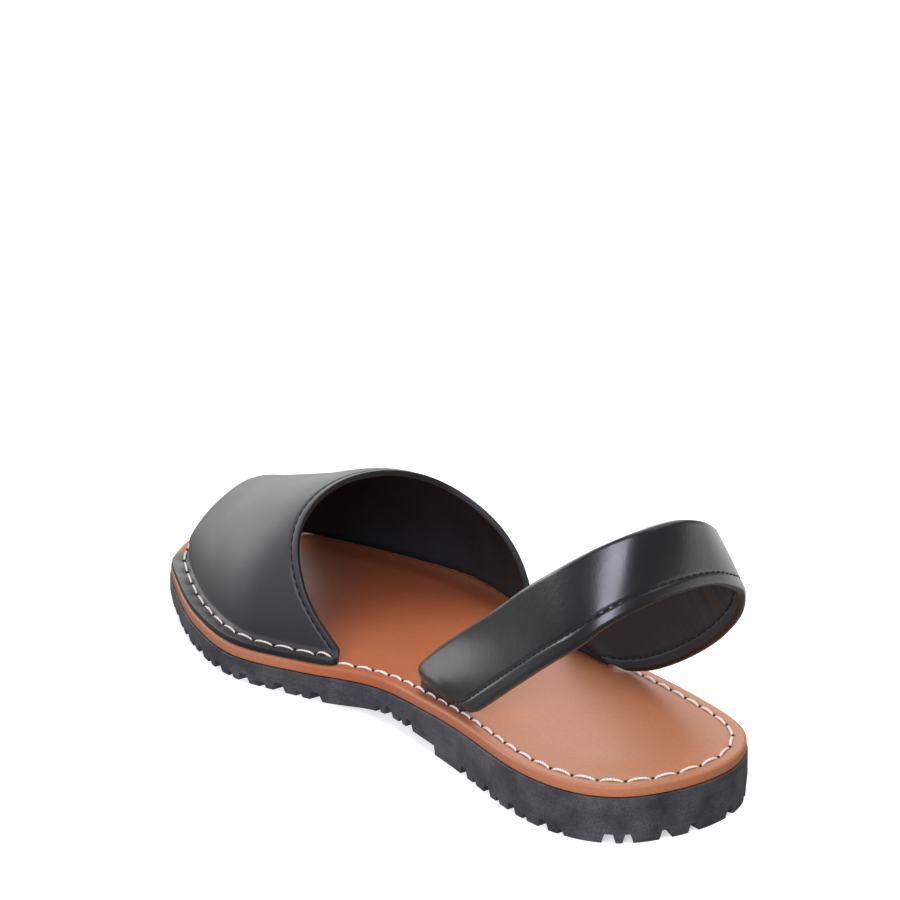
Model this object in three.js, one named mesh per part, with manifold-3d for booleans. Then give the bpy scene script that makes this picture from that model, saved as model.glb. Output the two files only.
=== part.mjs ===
// Avarca sandal for the right foot, standing empty on its sole: a lugged rubber outsole, a leather
// insole stitched on it, a peep-toe vamp whose lower edges are turned out over the insole's rim, and a
// heel strap whose two ends pass down through slots in the insole.
// Millimetres. +X runs to the toe, +Y to the inner (medial) side of the foot, +Z up, the floor is z = 0.
import * as THREE from 'three';
import { mergeVertices } from 'three/addons/utils/BufferGeometryUtils.js';
import Module from 'manifold-3d';

// Driving sizes
const soleLength = 255.5;
const heelWidth = 75;
const waistWidth = 70;
const ballWidth = 99;
const tipShift = 3.1; // the toe's tip lies this far to the big toe's side of the heel's middle
const heelHeight = 15.2; // top of the outsole above the floor, at three places
const ballHeight = 7.7;
const toeHeight = 12;
const toeSpring = 5.4; // the tread's lift at the tip
const heelStep = 3.2; // the heel block stands this far below the tread in front of it
const treadSetIn = 0.6; // the sole's side leans in by this much at the bottom
const sideBend = 0.45; // and stands upright above this share of its height
const meetGap = 0.3; // clearance wherever two pieces meet

const insoleSetIn = 0.4;
const insoleThickness = 3.5;
const insoleEdgeRound = 1;
const padRise = 1.2; // the footbed's padding above the rim
const padFoot = 8.4; // the padding starts this far in from the edge
const padShoulder = 11.5;

const vampThickness = 1.8;
const stitchInset = 4.2; // from the insole's edge to the seam that holds the vamp
const flangeSetIn = 0.3;
const flangeSlant = { front: -0.4, rear: -0.4 }; // how far the flange's ends lean back for each mm of reach
const bendRadius = 2.4;
const instepHeight = 45; // the vamp's highest point above its foot

const strapWidth = 25.5;
const strapThickness = 3;
const strapEdgeRound = 0.9;
const strapRise = 68.3; // the strap's middle line at the back of the heel, above the insole's rim
const strapFootAt = { medial: 0.374, lateral: 0.387 }; // shares of the sole's length
const strapFootInset = 5.8; // the middle of each slot, in from the insole's edge
const strapFootRise = 1; // each end runs on straight for this much above the footbed

const tread = {
  heelPitch: 15.1,
  waistPitch: 12,
  forePitch: 12.8,
  heelFirst: 1.2, // pitches from the heel's breast back to its first groove
  waistFirst: 1.25, // and forward to the waist's first one
  sipeAt: 0.45, // each groove has a finer one this share of a pitch further on
  grooveWidth: 2.6,
  grooveDepth: 2.4,
  sipeWidth: 1.4,
  sipeDepth: 1.2,
  flare: 0.3, // a groove's mouth is wider than its floor by this share of its depth on each side
  middleWidth: 3.4, // the two grooves that run lengthwise
  middleDepth: 1.9,
  notchReach: 11, // how far the notches reach in from the heel's and the toe's edge
};

// The sole's outline: half widths on each side of its middle line, as shares of the named width
const outlineRows = [
  { at: 0.01, medial: 0.224, lateral: 0.205, of: heelWidth },
  { at: 0.06, medial: 0.425, lateral: 0.423, of: heelWidth },
  { at: 0.16, medial: 0.496, lateral: 0.505, of: heelWidth },
  { at: 0.28, medial: 0.446, lateral: 0.52, of: heelWidth },
  { at: 0.4, medial: 0.43, lateral: 0.569, of: waistWidth },
  { at: 0.5, medial: 0.418, lateral: 0.623, of: waistWidth },
  { at: 0.6, medial: 0.391, lateral: 0.51, of: ballWidth },
  { at: 0.7, medial: 0.475, lateral: 0.533, of: ballWidth },
  { at: 0.8, medial: 0.439, lateral: 0.46, of: ballWidth },
  { at: 0.89, medial: 0.35, lateral: 0.343, of: ballWidth },
  { at: 0.955, medial: 0.247, lateral: 0.222, of: ballWidth },
  { at: 0.992, medial: 0.09, lateral: 0.083, of: ballWidth },
];

// The outsole's top line from heel to toe
const topRows = [
  { at: 0, z: heelHeight },
  { at: 0.2, z: 0.95 * heelHeight },
  { at: 0.35, z: 0.86 * heelHeight },
  { at: 0.5, z: 0.66 * heelHeight },
  { at: 0.65, z: ballHeight },
  { at: 0.8, z: 1.02 * ballHeight },
  { at: 0.92, z: 0.83 * toeHeight },
  { at: 1, z: toeHeight },
];
const breastAt = 0.362; // front face of the heel block
const archAt = 0.455; // the raised waist of the tread ends here
const archEndAt = 0.58; // the tread meets the floor again here
const springAt = 0.74; // and leaves it here
const treadField = { from: 0.085, to: 0.93, middles: 0.17 }; // middles is a share of the heel's width
const notchCentre = { heel: 0.14, toe: 0.86 };
const cutterReach = 0.7 * ballWidth; // past the sole's edge on every side

// Notches round the heel's back, by their direction from the heel's middle, in degrees
const heelNotches = [
  { turn: 136, width: 1 },
  { turn: 145, width: 0.6 },
  { turn: 164, width: 1 },
  { turn: 180, width: 0.9 },
  { turn: 206, width: 1 },
  { turn: 227, width: 0.9 },
];
const toeNotches = [
  { turn: -42, width: 1 },
  { turn: -21, width: 0.8 },
  { turn: 0, width: 1 },
  { turn: 22, width: 0.8 },
  { turn: 45, width: 1 },
];

// The vamp's two cut edges, from its medial foot (at 0) over the instep to its lateral foot (at 1)
const vampEdgeRows = [
  { at: 0, front: 0.952, rear: 0.573 },
  { at: 0.12, front: 0.929, rear: 0.626 },
  { at: 0.3, front: 0.909, rear: 0.672 },
  { at: 0.5, front: 0.905, rear: 0.677 },
  { at: 0.7, front: 0.9, rear: 0.645 },
  { at: 0.88, front: 0.915, rear: 0.563 },
  { at: 1, front: 0.93, rear: 0.527 },
];

// The vamp's arch: height as a share of the instep's, and how square its shoulders are
const archRows = [
  { at: 0.5, height: 1.05, square: 2.1 },
  { at: 0.68, height: 0.99, square: 2.02 },
  { at: 0.8, height: 0.73, square: 2.2 },
  { at: 0.91, height: 0.485, square: 2.1 },
  { at: 0.97, height: 0.39, square: 2 },
];

// The strap's middle line from its medial foot round the heel to its lateral foot. pitch turns the
// band's width from upright towards the toe and lean towards the lateral side, both in degrees, and
// wide is the share of the full width that is left, because the strap narrows round the heel.
const strapRows = [
  { along: 0.364, across: 0.36, up: 0.04, pitch: 77, lean: 0, wide: 1 },
  { along: 0.346, across: 0.368, up: 0.085, pitch: 65, lean: 2, wide: 1 },
  { along: 0.315, across: 0.38, up: 0.166, pitch: 49, lean: 5, wide: 0.98 },
  { along: 0.263, across: 0.4, up: 0.309, pitch: 39, lean: 6, wide: 0.96 },
  { along: 0.206, across: 0.419, up: 0.468, pitch: 37, lean: 7, wide: 0.96 },
  { along: 0.148, across: 0.428, up: 0.635, pitch: 37, lean: 8, wide: 0.98 },
  { along: 0.092, across: 0.407, up: 0.794, pitch: 34, lean: 8, wide: 0.98 },
  { along: 0.055, across: 0.327, up: 0.923, pitch: 26, lean: 9, wide: 0.93 },
  { along: 0.033, across: 0.2, up: 1, pitch: 18, lean: 5, wide: 0.89 },
  { along: 0.029, across: 0.035, up: 1.02, pitch: 14, lean: 0, wide: 0.86 },
  { along: 0.043, across: -0.141, up: 0.972, pitch: 15, lean: -7, wide: 0.81 },
  { along: 0.065, across: -0.283, up: 0.884, pitch: 20, lean: -12, wide: 0.8 },
  { along: 0.092, across: -0.386, up: 0.79, pitch: 28, lean: -14, wide: 0.82 },
  { along: 0.122, across: -0.439, up: 0.645, pitch: 36, lean: -12, wide: 0.9 },
  { along: 0.168, across: -0.455, up: 0.479, pitch: 38, lean: -8, wide: 0.96 },
  { along: 0.224, across: -0.449, up: 0.322, pitch: 39, lean: -7, wide: 0.98 },
  { along: 0.283, across: -0.433, up: 0.192, pitch: 43, lean: -5, wide: 1 },
  { along: 0.337, across: -0.418, up: 0.1, pitch: 55, lean: -3, wide: 1 },
  { along: 0.373, across: -0.408, up: 0.043, pitch: 77, lean: 0, wide: 1 },
];

// How finely each surface is cut
const outlineSteps = 46;
const vampSteps = 18;
const archSteps = 20;
const bendSteps = 3;
const strapStepsPerRow = 3;

const wasm = await Module();
wasm.setup();

// A smooth value between table rows, with each row's slope taken from its neighbours
function valueAt(rows, key, at) {
  const last = rows.length - 1;
  let i = 0;
  while (i < last - 1 && at > rows[i + 1].at) i += 1;
  const slopeAt = (k) => {
    const before = rows[Math.max(k - 1, 0)];
    const after = rows[Math.min(k + 1, last)];
    return (after[key] - before[key]) / (after.at - before.at);
  };
  const span = rows[i + 1].at - rows[i].at;
  const t = THREE.MathUtils.clamp((at - rows[i].at) / span, 0, 1);
  const t2 = t * t;
  const t3 = t2 * t;
  return (
    (2 * t3 - 3 * t2 + 1) * rows[i][key] +
    (t3 - 2 * t2 + t) * span * slopeAt(i) +
    (3 * t2 - 2 * t3) * rows[i + 1][key] +
    (t3 - t2) * span * slopeAt(i + 1)
  );
}

// The outline runs by an angle, 0 at the heel's end and pi at the tip, so that both ends are round
const fullnessRows = outlineRows.map((row) => {
  const turn = Math.acos(1 - 2 * row.at);
  return {
    at: turn / Math.PI,
    medial: (row.medial * row.of) / Math.sin(turn),
    lateral: (row.lateral * row.of) / Math.sin(turn),
  };
});

function outlinePoint(turn, side) {
  const share = (1 - Math.cos(turn)) / 2;
  const reach = Math.sin(turn) * valueAt(fullnessRows, side, turn / Math.PI);
  const middle = tipShift * share * share;
  return new THREE.Vector2(soleLength * share, middle + (side === 'medial' ? reach : -reach));
}

// A closed ring of points set in from the outline: up the medial side, then back down the lateral one
function insetRing(inset, steps = outlineSteps) {
  const points = [];
  for (let j = 0; j < 2 * steps; j += 1) {
    const side = j <= steps ? 'medial' : 'lateral';
    const turn = (Math.PI * (j <= steps ? j : 2 * steps - j)) / steps;
    points.push(outlinePoint(turn, side));
  }
  const count = points.length;
  return points.map((point, j) => {
    const before = points[(j + count - 1) % count];
    const after = points[(j + 1) % count];
    const inward = new THREE.Vector2(after.y - before.y, before.x - after.x).normalize();
    return point.clone().addScaledVector(inward, inset);
  });
}

const outsoleTop = (x) => valueAt(topRows, 'z', x / soleLength);
const rimTop = (x) => outsoleTop(x) + meetGap + insoleThickness;

// The tread's height without its waist, and with it
function treadLine(x) {
  const spring = Math.max(x / soleLength - springAt, 0) / (1 - springAt);
  return toeSpring * spring * spring;
}

function outsoleBottom(x) {
  const share = x / soleLength;
  if (share < breastAt || share > archEndAt) return treadLine(x);
  return heelStep * (1 - THREE.MathUtils.smoothstep(share, archAt, archEndAt));
}

// Collects triangles and turns them into a geometry and a solid
class Skin {
  constructor() {
    this.positions = [];
    this.faces = [];
  }

  add(x, y, z) {
    this.positions.push(x, y, z);
    return this.positions.length / 3 - 1;
  }

  quad(a, b, c, d) {
    this.faces.push(a, b, c, a, c, d);
  }

  triangle(a, b, c) {
    this.faces.push(a, b, c);
  }

  geometry() {
    const made = new THREE.BufferGeometry();
    made.setAttribute('position', new THREE.Float32BufferAttribute(this.positions, 3));
    made.setIndex(this.faces);
    return made;
  }
}

function solidOf(geometry) {
  const bare = geometry.clone();
  bare.deleteAttribute('normal');
  bare.deleteAttribute('uv');
  const merged = mergeVertices(bare, 1e-4);
  return new wasm.Manifold(
    new wasm.Mesh({
      numProp: 3,
      vertProperties: merged.attributes.position.array,
      triVerts: new Uint32Array(merged.index.array),
    }),
  );
}

function geometryOf(solid) {
  const mesh = solid.getMesh();
  const made = new THREE.BufferGeometry();
  made.setAttribute('position', new THREE.BufferAttribute(mesh.vertProperties, 3));
  made.setIndex(new THREE.BufferAttribute(mesh.triVerts, 1));
  return made.toNonIndexed();
}

// A closed tube of straight facets through rings of points, its two ends filled as fans
function loft(rings) {
  const skin = new Skin();
  const laid = rings.map((ring) => ring.map((p) => skin.add(...p)));
  const count = laid[0].length;
  const last = laid.length - 1;
  for (let i = 0; i < last; i += 1) {
    for (let j = 0; j < count; j += 1) {
      const next = (j + 1) % count;
      skin.quad(laid[i][j], laid[i][next], laid[i + 1][next], laid[i + 1][j]);
    }
  }
  for (let j = 1; j + 1 < count; j += 1) {
    skin.triangle(laid[0][0], laid[0][j + 1], laid[0][j]);
    skin.triangle(laid[last][0], laid[last][j], laid[last][j + 1]);
  }
  return skin.geometry();
}

// A slab with the sole's outline. Its rings run from the underside's edge round to the top's edge, and
// each cap is filled with rows that cross from the medial side to the lateral one.
function slab(rings, capColumns, capHeight) {
  const skin = new Skin();
  const laid = rings.map((ring) =>
    insetRing(ring.inset).map((p) => skin.add(p.x, p.y, ring.height(p.x))),
  );
  const count = 2 * outlineSteps;
  for (let r = 0; r + 1 < laid.length; r += 1) {
    for (let j = 0; j < count; j += 1) {
      const next = (j + 1) % count;
      skin.quad(laid[r][next], laid[r][j], laid[r + 1][j], laid[r + 1][next]);
    }
  }
  const cap = (ring, height, columns, faceUp) => {
    const rowOf = (j) => {
      if (j === 0 || j === outlineSteps) return [ring[j]];
      const a = new THREE.Vector3().fromArray(skin.positions, 3 * ring[j]);
      const b = new THREE.Vector3().fromArray(skin.positions, 3 * ring[count - j]);
      const row = [ring[j]];
      for (let k = 1; k < columns; k += 1) {
        const p = a.clone().lerp(b, k / columns);
        row.push(skin.add(p.x, p.y, height(p.x)));
      }
      return [...row, ring[count - j]];
    };
    let row = rowOf(0);
    for (let j = 1; j <= outlineSteps; j += 1) {
      const next = rowOf(j);
      for (let k = 0; k < columns; k += 1) {
        const a = row[Math.min(k, row.length - 1)];
        const b = row[Math.min(k + 1, row.length - 1)];
        const c = next[Math.min(k + 1, next.length - 1)];
        const d = next[Math.min(k, next.length - 1)];
        const turned = faceUp ? [a, b, c, d] : [d, c, b, a];
        const corners = turned.filter((v, n) => turned.indexOf(v) === n);
        if (corners.length === 4) skin.quad(...corners);
        else skin.triangle(...corners);
      }
      row = next;
    }
  };
  cap(laid[0], rings[0].height, 1, false);
  cap(laid[laid.length - 1], capHeight, capColumns, true);
  return solidOf(skin.geometry());
}

// A bar that cuts one groove along a path on the tread, narrower towards its floor
function grooveCutter(path, width, depth) {
  const below = 2;
  const mouth = width / 2 + tread.flare * depth;
  const rows = path.map((point, i) => {
    const from = path[Math.max(i - 1, 0)];
    const to = path[Math.min(i + 1, path.length - 1)];
    const side = new THREE.Vector2(from.y - to.y, to.x - from.x).normalize();
    const floor = outsoleBottom(point.x);
    return [
      { out: -mouth, z: floor - below },
      { out: mouth, z: floor - below },
      { out: mouth, z: floor },
      { out: width / 2, z: floor + depth },
      { out: -width / 2, z: floor + depth },
      { out: -mouth, z: floor },
    ].map(({ out, z }) => [point.x + side.x * out, point.y + side.y * out, z]);
  });
  return solidOf(loft(rows));
}

// The block that is cut away in front of the heel, which leaves the heel's breast and the arch
function waistCutter() {
  const half = cutterReach;
  const rings = [];
  for (let i = 0; i <= archSteps; i += 1) {
    const x = soleLength * THREE.MathUtils.lerp(breastAt, archEndAt, i / archSteps);
    const top = outsoleBottom(x);
    rings.push([[x, half, -heelStep], [x, half, top], [x, -half, top], [x, -half, -heelStep]]);
  }
  return solidOf(loft(rings));
}

// The bars that cut the tread: across it, lengthwise, and as notches round the heel and the toe
function treadCutters() {
  const cutters = [waistCutter()];
  const { grooveWidth, grooveDepth, sipeWidth, sipeDepth } = tread;
  const across = (x, width, depth) => {
    const path = [-cutterReach, cutterReach].map((y) => new THREE.Vector2(x, y));
    cutters.push(grooveCutter(path, width, depth));
  };
  const field = (from, to, pitch) => {
    for (let x = from; (to - x) * Math.sign(pitch) > 0; x += pitch) {
      across(x, grooveWidth, grooveDepth);
      across(x + tread.sipeAt * pitch, sipeWidth, sipeDepth);
    }
  };
  const breast = breastAt * soleLength;
  const heel = breast - tread.heelFirst * tread.heelPitch;
  const waist = breast + tread.waistFirst * tread.waistPitch;
  const ball = archEndAt * soleLength;
  field(heel, treadField.from * soleLength, -tread.heelPitch);
  field(waist, waist + 2 * tread.waistPitch, tread.waistPitch);
  field(ball, treadField.to * soleLength, tread.forePitch);
  for (const [from, to] of [[treadField.from, breastAt], [archEndAt, treadField.to]]) {
    for (const side of [-1, 1]) {
      const path = [0, 0.25, 0.5, 0.75, 1].map((t) => {
        const share = THREE.MathUtils.lerp(from, to, t);
        const middle = tipShift * share * share;
        return new THREE.Vector2(share * soleLength, middle + treadField.middles * side * heelWidth);
      });
      cutters.push(grooveCutter(path, tread.middleWidth, tread.middleDepth));
    }
  }
  const fan = (notches, centreShare, endShare) => {
    const centre = centreShare * soleLength;
    const edge = Math.abs(endShare - centreShare) * soleLength - tread.notchReach;
    for (const notch of notches) {
      const turn = THREE.MathUtils.degToRad(notch.turn);
      const path = [edge, cutterReach].map(
        (reach) => new THREE.Vector2(centre + Math.cos(turn) * reach, Math.sin(turn) * reach),
      );
      cutters.push(grooveCutter(path, notch.width * grooveWidth, grooveDepth));
    }
  };
  fan(heelNotches, notchCentre.heel, 0);
  fan(toeNotches, notchCentre.toe, 1);
  return cutters;
}

// Rubber outsole
function outsole() {
  const body = slab(
    [
      { inset: treadSetIn, height: treadLine },
      { inset: 0, height: (x) => THREE.MathUtils.lerp(treadLine(x), outsoleTop(x), sideBend) },
      { inset: 0, height: outsoleTop },
    ],
    1,
    outsoleTop,
  );
  return treadCutters().reduce((left, cutter) => left.subtract(cutter), body);
}

// Where one end of the strap goes down: the slot's middle and its direction along the rim
function strapFoot(side) {
  const ring = insetRing(insoleSetIn + strapFootInset, 4 * outlineSteps);
  const x = strapFootAt[side] * soleLength;
  const half = side === 'medial' ? ring.slice(0, 4 * outlineSteps) : ring.slice(4 * outlineSteps);
  const nearest = (at) =>
    half.reduce((best, p) => (Math.abs(p.x - at) < Math.abs(best.x - at) ? p : best));
  const front = nearest(x + strapWidth / 2);
  const rear = nearest(x - strapWidth / 2);
  const middle = front.clone().add(rear).multiplyScalar(0.5);
  return { middle, along: front.clone().sub(rear).normalize() };
}

// Leather insole with a rounded rim, a padded footbed and a slot for each end of the strap
function insole() {
  const under = (x) => outsoleTop(x) + meetGap;
  const corner = insoleEdgeRound * (1 - Math.SQRT1_2);
  const body = slab(
    [
      { inset: insoleSetIn, height: under },
      { inset: insoleSetIn, height: (x) => rimTop(x) - insoleEdgeRound },
      { inset: insoleSetIn + corner, height: (x) => rimTop(x) - corner },
      { inset: insoleSetIn + insoleEdgeRound, height: rimTop },
      { inset: insoleSetIn + padFoot, height: rimTop },
      { inset: insoleSetIn + padShoulder, height: (x) => rimTop(x) + padRise },
    ],
    2,
    (x) => rimTop(x) + padRise,
  );
  const cutters = ['medial', 'lateral'].map((side) => {
    const { middle, along } = strapFoot(side);
    const slot = new THREE.BoxGeometry(
      strapWidth + 2 * meetGap,
      strapThickness + 2 * meetGap,
      4 * (insoleThickness + padRise),
    );
    slot.rotateZ(Math.atan2(along.y, along.x));
    slot.translate(middle.x, middle.y, rimTop(middle.x));
    return solidOf(slot);
  });
  return cutters.reduce((left, cutter) => left.subtract(cutter), body);
}

// The y of the line that runs a given way inside the outline, at a given x
const insetLines = new Map();
function insetAt(side, inset, x) {
  const key = `${side} ${inset.toFixed(3)}`;
  if (!insetLines.has(key)) {
    const steps = 5 * outlineSteps;
    const ring = insetRing(inset, steps);
    const half = side === 'medial' ? ring.slice(1, steps) : ring.slice(steps + 1).reverse();
    insetLines.set(key, half);
  }
  const line = insetLines.get(key);
  let i = 1;
  while (i < line.length - 1 && line[i].x < x) i += 1;
  const share = THREE.MathUtils.clamp((x - line[i - 1].x) / (line[i].x - line[i - 1].x), 0, 1);
  return THREE.MathUtils.lerp(line[i - 1].y, line[i].y, share);
}

// One cross line of the vamp's middle surface, from the medial flange over the instep to the lateral
// one: share 0 is the front edge and 1 the throat
function vampLine(share) {
  const wallInset = insoleSetIn + stitchInset + bendRadius;
  const seat = (x) => rimTop(x) + meetGap + vampThickness / 2;
  const edgeX = (around) => {
    const front = valueAt(vampEdgeRows, 'front', around);
    const rear = valueAt(vampEdgeRows, 'rear', around);
    return soleLength * THREE.MathUtils.lerp(front, rear, share);
  };
  const slant = THREE.MathUtils.lerp(flangeSlant.front, flangeSlant.rear, share);
  const foot = (side, around) => {
    const reach = wallInset - insoleSetIn - flangeSetIn;
    const row = [reach, 0.5 * (reach + bendRadius)].map((out) => ({ out, up: 0 }));
    for (let k = 0; k < bendSteps; k += 1) {
      const angle = (0.5 * Math.PI * k) / bendSteps;
      row.push({ out: bendRadius * (1 - Math.sin(angle)), up: bendRadius * (1 - Math.cos(angle)) });
    }
    return row.map(({ out, up }) => {
      const x = edgeX(around) + out * slant;
      return new THREE.Vector3(x, insetAt(side, wallInset - out, x), seat(x) + up);
    });
  };
  const arch = [];
  for (let k = 0; k <= archSteps; k += 1) {
    const around = k / archSteps;
    const x = edgeX(around);
    const middle = 0.5 * tipShift;
    const wall = insetAt(around < 0.5 ? 'medial' : 'lateral', wallInset, x);
    const square = 2 / valueAt(archRows, 'square', x / soleLength);
    const turn = Math.PI * around;
    const y = middle + Math.abs(Math.cos(turn)) ** square * (wall - middle);
    const height = instepHeight * valueAt(archRows, 'height', x / soleLength);
    arch.push(new THREE.Vector3(x, y, seat(x) + bendRadius + height * Math.sin(turn) ** square));
  }
  return [...foot('medial', 0), ...arch, ...foot('lateral', 1).reverse()];
}

// A sheet of points thickened by half its wall on each side and closed round its four edges
function thickSheet(rows, thickness) {
  const skin = new Skin();
  const last = rows.length - 1;
  const end = rows[0].length - 1;
  const face = (sign) =>
    rows.map((row, i) =>
      row.map((p, j) => {
        const alongRow = row[Math.min(j + 1, end)].clone().sub(row[Math.max(j - 1, 0)]);
        const alongSheet = rows[Math.min(i + 1, last)][j].clone().sub(rows[Math.max(i - 1, 0)][j]);
        const normal = alongSheet.cross(alongRow).normalize();
        const q = p.clone().addScaledVector(normal, (sign * thickness) / 2);
        return skin.add(q.x, q.y, q.z);
      }),
    );
  const over = face(1);
  const under = face(-1);
  for (let i = 0; i < last; i += 1) {
    for (let j = 0; j < end; j += 1) {
      skin.quad(over[i][j], over[i + 1][j], over[i + 1][j + 1], over[i][j + 1]);
      skin.quad(under[i][j], under[i][j + 1], under[i + 1][j + 1], under[i + 1][j]);
    }
    skin.quad(under[i][0], under[i + 1][0], over[i + 1][0], over[i][0]);
    skin.quad(over[i][end], over[i + 1][end], under[i + 1][end], under[i][end]);
  }
  for (let j = 0; j < end; j += 1) {
    skin.quad(over[0][j], over[0][j + 1], under[0][j + 1], under[0][j]);
    skin.quad(under[last][j], under[last][j + 1], over[last][j + 1], over[last][j]);
  }
  return skin.geometry();
}

// Leather vamp: one bent sheet, open at the toe and at the throat
function vamp() {
  const rows = [];
  for (let i = 0; i <= vampSteps; i += 1) rows.push(vampLine(i / vampSteps));
  return solidOf(thickSheet(rows, vampThickness));
}

// The strap's stations: middle point and width direction, from the medial slot to the lateral one
function strapStations() {
  const feet = { medial: strapFoot('medial'), lateral: strapFoot('lateral') };
  const footRows = (side) => {
    const { middle, along } = feet[side];
    const floor = outsoleTop(middle.x - strapWidth / 2) + meetGap;
    const clear = rimTop(middle.x) + padRise + meetGap;
    return [floor, clear, clear + strapFootRise].map((z) => ({
      middle: new THREE.Vector3(middle.x, middle.y, z),
      width: new THREE.Vector3(along.x, along.y, 0),
      wide: 1,
    }));
  };
  const free = strapRows.map((row) => {
    const pitch = THREE.MathUtils.degToRad(row.pitch);
    const lean = THREE.MathUtils.degToRad(row.lean);
    const x = row.along * soleLength;
    return {
      middle: new THREE.Vector3(x, row.across * heelWidth, rimTop(0) + row.up * strapRise),
      width: new THREE.Vector3(Math.sin(pitch), -Math.sin(lean), Math.cos(pitch)).normalize(),
      wide: row.wide,
    };
  });
  return [...footRows('medial'), ...free, ...footRows('lateral').reverse()];
}

// Folded leather heel strap: a flat band with rounded edges, lofted through its stations
function heelStrap() {
  const stations = strapStations();
  const middles = new THREE.CatmullRomCurve3(stations.map((s) => s.middle));
  const widths = new THREE.CatmullRomCurve3(stations.map((s) => s.width.multiplyScalar(s.wide)));
  const steps = (stations.length - 1) * strapStepsPerRow;
  const side = strapWidth / 2 - strapEdgeRound;
  const face = strapThickness / 2 - strapEdgeRound;
  const section = [];
  for (const [w, n, cornerFrom] of [[1, 1, 0], [-1, 1, 1], [-1, -1, 2], [1, -1, 3]]) {
    for (const step of [0, 1, 2]) {
      const angle = 0.5 * Math.PI * (cornerFrom + step / 2);
      section.push({
        w: w * side + strapEdgeRound * Math.cos(angle),
        n: n * face + strapEdgeRound * Math.sin(angle),
      });
    }
  }
  const rings = [];
  for (let i = 0; i <= steps; i += 1) {
    const t = i / steps;
    const middle = middles.getPoint(t);
    const width = widths.getPoint(t);
    const outward = middles.getTangent(t).cross(width).normalize();
    rings.push(
      section.map(({ w, n }) =>
        middle.clone().addScaledVector(width, w).addScaledVector(outward, n).toArray(),
      ),
    );
  }
  return solidOf(loft(rings));
}

const blackRubber = { color: 0x3a3b3d, roughness: 0.8, metalness: 0 };
const tanLeather = { color: 0xb9774f, roughness: 0.55, metalness: 0 };
const blackLeather = { color: 0x2b2c2e, roughness: 0.45, metalness: 0 };

function piece(name, solid, finish) {
  const mesh = new THREE.Mesh(geometryOf(solid), new THREE.MeshStandardMaterial(finish));
  mesh.name = name;
  return mesh;
}

const sandal = new THREE.Group();
sandal.add(
  piece('outsole', outsole(), blackRubber),
  piece('insole', insole(), tanLeather),
  piece('vamp', vamp(), blackLeather),
  piece('heel_strap', heelStrap(), blackLeather),
);

// The origin is on the floor under the middle of the whole sandal's box
const box = new THREE.Box3().setFromObject(sandal);
const centre = box.getCenter(new THREE.Vector3());
sandal.position.set(-centre.x, -centre.y, -box.min.z);

export default sandal;
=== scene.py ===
# Avarca sandal, right foot: black leather vamp and heel strap on a tan leather insole, stitched round
# with cream thread, on a lugged black rubber outsole. Sizes are millimetres from the heel's end.
import math
import random

import bpy
import numpy as np
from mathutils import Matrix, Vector


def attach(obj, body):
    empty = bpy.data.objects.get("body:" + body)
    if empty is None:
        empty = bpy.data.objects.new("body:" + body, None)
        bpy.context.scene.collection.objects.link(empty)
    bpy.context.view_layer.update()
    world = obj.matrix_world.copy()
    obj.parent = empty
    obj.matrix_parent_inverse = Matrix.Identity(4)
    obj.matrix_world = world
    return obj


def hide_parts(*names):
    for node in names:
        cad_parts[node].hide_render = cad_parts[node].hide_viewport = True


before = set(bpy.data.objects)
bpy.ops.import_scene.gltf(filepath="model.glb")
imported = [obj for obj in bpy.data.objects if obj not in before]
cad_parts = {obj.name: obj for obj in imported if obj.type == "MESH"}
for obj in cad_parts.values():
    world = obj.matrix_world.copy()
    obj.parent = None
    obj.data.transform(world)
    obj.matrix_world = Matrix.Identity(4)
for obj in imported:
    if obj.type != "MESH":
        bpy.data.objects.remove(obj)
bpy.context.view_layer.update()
bpy.ops.object.select_all(action="DESELECT")
random.seed(7)

# The sole that everything is built on. Places along it are shares of its length.
sole = {
    "length": 255.5, "heelWidth": 75, "waistWidth": 70, "ballWidth": 99,
    "tipShift": 3.1,  # the toe's tip lies this far to the big toe's side
    "heelHeight": 15.2, "ballHeight": 7.7, "toeHeight": 12, "toeSpring": 5.4, "heelStep": 3.2,
    "breastAt": 0.362, "archAt": 0.455, "archEndAt": 0.58, "springAt": 0.74,
    "gap": 0.3, "insole": 3.5, "insoleSetIn": 0.4, "padRise": 1.2,
    "middle": (127.75, -1.4418, 0),  # this point is the frame's origin
}
# The outline's half widths on each side of its middle line, as shares of the named width
outlineRows = [
    {"at": 0.01, "medial": 0.224, "lateral": 0.205, "of": "heelWidth"},
    {"at": 0.06, "medial": 0.425, "lateral": 0.423, "of": "heelWidth"},
    {"at": 0.16, "medial": 0.496, "lateral": 0.505, "of": "heelWidth"},
    {"at": 0.28, "medial": 0.446, "lateral": 0.52, "of": "heelWidth"},
    {"at": 0.4, "medial": 0.43, "lateral": 0.569, "of": "waistWidth"},
    {"at": 0.5, "medial": 0.418, "lateral": 0.623, "of": "waistWidth"},
    {"at": 0.6, "medial": 0.391, "lateral": 0.51, "of": "ballWidth"},
    {"at": 0.7, "medial": 0.475, "lateral": 0.533, "of": "ballWidth"},
    {"at": 0.8, "medial": 0.439, "lateral": 0.46, "of": "ballWidth"},
    {"at": 0.89, "medial": 0.35, "lateral": 0.343, "of": "ballWidth"},
    {"at": 0.955, "medial": 0.247, "lateral": 0.222, "of": "ballWidth"},
    {"at": 0.992, "medial": 0.09, "lateral": 0.083, "of": "ballWidth"},
]
topRows = [
    {"at": 0, "z": sole["heelHeight"]}, {"at": 0.2, "z": 0.95 * sole["heelHeight"]},
    {"at": 0.35, "z": 0.86 * sole["heelHeight"]}, {"at": 0.5, "z": 0.66 * sole["heelHeight"]},
    {"at": 0.65, "z": sole["ballHeight"]}, {"at": 0.8, "z": 1.02 * sole["ballHeight"]},
    {"at": 0.92, "z": 0.83 * sole["toeHeight"]}, {"at": 1, "z": sole["toeHeight"]},
]


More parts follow.
